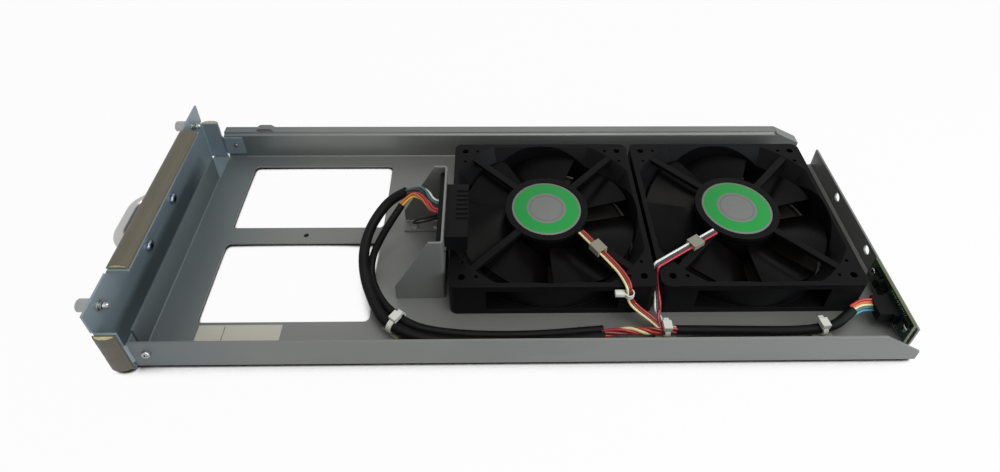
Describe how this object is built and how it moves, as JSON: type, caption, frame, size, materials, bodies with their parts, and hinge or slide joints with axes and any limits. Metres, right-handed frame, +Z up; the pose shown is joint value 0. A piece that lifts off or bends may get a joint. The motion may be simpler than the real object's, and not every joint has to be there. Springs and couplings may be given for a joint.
{
  "type": "slide-in fan tray",
  "caption": "Slide-in cooling tray: folded sheet pan with gasketed front panel, handle, captive thumbscrews, axial fans, blind-mate connector bracket and rear control board.",
  "frame": {"origin": "middle of the underside of the whole tray: centre of its box in X and Y, underside of the front panel's lower flange in Z", "axes": "+X from the front panel towards the rear flange, +Y towards the wall with the lip, +Z up"},
  "size_m": [0.4664, 0.1772, 0.0528],
  "materials": {
    "zinc_sheet": "zinc-plated sheet, satin",
    "panel_steel": "zinc-plated sheet, satin, slate tone",
    "gasket_cloth": "metallised woven cloth",
    "gasket_foam": "open-cell foam",
    "handle_metal": "plated rod",
    "bright_steel": "bright zinc plating",
    "bush_metal": "turned, satin",
    "connector_plastic": "moulded, black",
    "contact_brass": "plated contact",
    "fan_plastic": "glass-filled moulding, black",
    "impeller_plastic": "moulded, black",
    "shaft_steel": "ground steel",
    "magnet_iron": "dark sintered and laminated iron",
    "coil_copper": "enamelled copper winding",
    "board_green": "coated circuit board",
    "lead_wire": "insulated leads",
    "control_green": "coated circuit board",
    "cable_sleeve": "black shrink sleeve",
    "loose_wire": "insulated wires",
    "tie_nylon": "natural nylon",
    "clip_nylon": "natural nylon"
  },
  "bodies": {
    "tray": {"tray_pan": "zinc_sheet", "connector_bracket": "zinc_sheet", "front_panel": "panel_steel", "top_gasket_fabric": "gasket_cloth", "near_gasket_fabric": "gasket_cloth", "far_gasket_fabric": "gasket_cloth", "top_gasket_foam": "gasket_foam", "near_gasket_foam": "gasket_foam", "far_gasket_foam": "gasket_foam", "front_handle": "handle_metal", "handle_screws": "bright_steel", "panel_screws": "bright_steel", "fan_screws": "bright_steel", "connector_screws": "bright_steel", "board_screws": "bright_steel", "bracket_rivets": "bright_steel", "panel_bushes": "bush_metal", "board_posts": "bush_metal", "connector_housing": "connector_plastic", "board_header": "connector_plastic", "harness_plug": "connector_plastic", "board_chips": "connector_plastic", "connector_contacts": "contact_brass", "front_fan_frame": "fan_plastic", "front_fan_bearings": "shaft_steel", "front_stator_core": "magnet_iron", "front_stator_coils": "coil_copper", "front_motor_board": "board_green", "front_fan_lead": "lead_wire", "rear_fan_frame": "fan_plastic", "rear_fan_bearings": "shaft_steel", "rear_stator_core": "magnet_iron", "rear_stator_coils": "coil_copper", "rear_motor_board": "board_green", "rear_fan_lead": "lead_wire", "control_board": "control_green", "outer_loop_cable": "cable_sleeve", "inner_loop_cable": "cable_sleeve", "rear_cable": "cable_sleeve", "connector_wires": "loose_wire", "bare_wires": "loose_wire", "plug_wires": "loose_wire", "cable_ties": "tie_nylon", "tie_mounts": "clip_nylon", "lead_clips": "clip_nylon"},
    "front_rotor": {"front_fan_impeller": "impeller_plastic", "front_fan_shaft": "shaft_steel", "front_rotor_magnet": "magnet_iron", "front_shaft_clip": "shaft_steel"},
    "rear_rotor": {"rear_fan_impeller": "impeller_plastic", "rear_fan_shaft": "shaft_steel", "rear_rotor_magnet": "magnet_iron", "rear_shaft_clip": "shaft_steel"},
    "near_float": {"near_retaining_ring": "bright_steel"},
    "near_screw": {"near_thumbscrew": "bright_steel"},
    "far_float": {"far_retaining_ring": "bright_steel"},
    "far_screw": {"far_thumbscrew": "bright_steel"}
  },
  "joints": [
    {"name": "front_fan_spin", "type": "hinge", "parent": "tray", "child": "front_rotor", "pos_m": [0.0311, 0.00565, 0.015], "axis": [0, 0, 1], "continuous": true},
    {"name": "rear_fan_spin", "type": "hinge", "parent": "tray", "child": "rear_rotor", "pos_m": [0.1525, 0.00565, 0.015], "axis": [0, 0, 1], "continuous": true},
    {"name": "near_screw_float", "type": "slide", "parent": "tray", "child": "near_float", "axis": [1, 0, 0], "range_m": [-0.001, 0.0023]},
    {"name": "near_screw_spin", "type": "hinge", "parent": "near_float", "child": "near_screw", "pos_m": [-0.2071, -0.0729, 0.0408], "axis": [1, 0, 0], "continuous": true},
    {"name": "far_screw_float", "type": "slide", "parent": "tray", "child": "far_float", "axis": [1, 0, 0], "range_m": [-0.001, 0.0023]},
    {"name": "far_screw_spin", "type": "hinge", "parent": "far_float", "child": "far_screw", "pos_m": [-0.2071, 0.0701, 0.0408], "axis": [1, 0, 0], "continuous": true}
  ]
}
